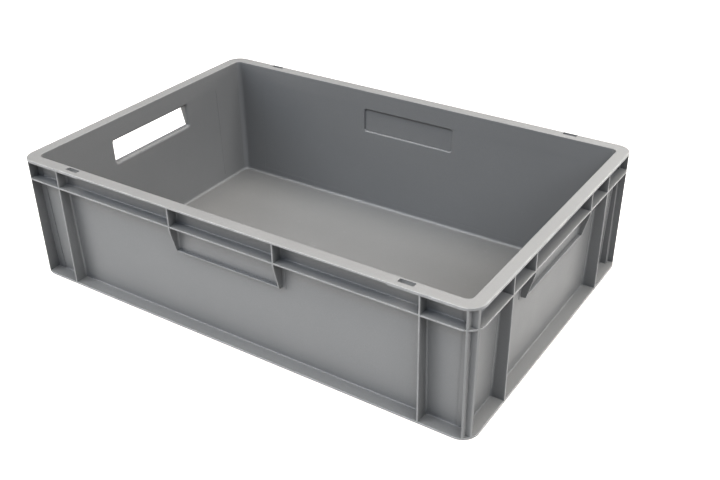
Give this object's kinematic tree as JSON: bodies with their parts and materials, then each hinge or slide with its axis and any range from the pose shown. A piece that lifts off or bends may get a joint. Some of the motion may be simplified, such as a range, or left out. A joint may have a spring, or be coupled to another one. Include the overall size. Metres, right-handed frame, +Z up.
{
  "type": "stacking crate",
  "caption": "Rectangular solid-walled stacking crate with ribbed outside, belt, stacking foot, an open hand hole in one end and closed grips on the other sides.",
  "frame": {"origin": "middle of the footprint, on the surface that the crate stands on", "axes": "+X along the 600 mm side, +Z up out of the mouth; front is -Y"},
  "size_m": [0.6, 0.4, 0.17],
  "materials": {
    "crate_plastic": "satin moulded polypropylene, fine moulded texture",
    "crate_floor": "satin moulded polypropylene, slightly scuffed"
  },
  "bodies": {
    "root": {"floor_panel": "crate_floor", "wall_front": "crate_plastic", "wall_back": "crate_plastic", "wall_left": "crate_plastic", "wall_right": "crate_plastic", "wall_corner_front_left": "crate_plastic", "wall_corner_front_right": "crate_plastic", "wall_corner_back_left": "crate_plastic", "wall_corner_back_right": "crate_plastic", "rim_front": "crate_plastic", "rim_back": "crate_plastic", "rim_left": "crate_plastic", "rim_right": "crate_plastic", "rim_corner_front_left": "crate_plastic", "rim_corner_front_right": "crate_plastic", "rim_corner_back_left": "crate_plastic", "rim_corner_back_right": "crate_plastic", "belt_front": "crate_plastic", "belt_back": "crate_plastic", "belt_left": "crate_plastic", "belt_right": "crate_plastic", "belt_corner_front_left": "crate_plastic", "belt_corner_front_right": "crate_plastic", "belt_corner_back_left": "crate_plastic", "belt_corner_back_right": "crate_plastic", "ledge_front": "crate_plastic", "ledge_back": "crate_plastic", "ledge_left": "crate_plastic", "ledge_right": "crate_plastic", "ledge_corner_front_left": "crate_plastic", "ledge_corner_front_right": "crate_plastic", "ledge_corner_back_left": "crate_plastic", "ledge_corner_back_right": "crate_plastic", "rib_front_left": "crate_plastic", "rib_front_right": "crate_plastic", "rib_back_left": "crate_plastic", "rib_back_right": "crate_plastic", "rib_left_front": "crate_plastic", "rib_left_back": "crate_plastic", "rib_right_front": "crate_plastic", "rib_right_back": "crate_plastic", "corner_post_front_left": "crate_plastic", "corner_post_front_right": "crate_plastic", "corner_post_back_left": "crate_plastic", "corner_post_back_right": "crate_plastic", "short_ribs_front": "crate_plastic", "short_ribs_back": "crate_plastic", "short_ribs_left": "crate_plastic", "short_ribs_right": "crate_plastic", "grip_front": "crate_plastic", "grip_back": "crate_plastic", "grip_left": "crate_plastic", "grip_right": "crate_plastic"}
  },
  "joints": []
}
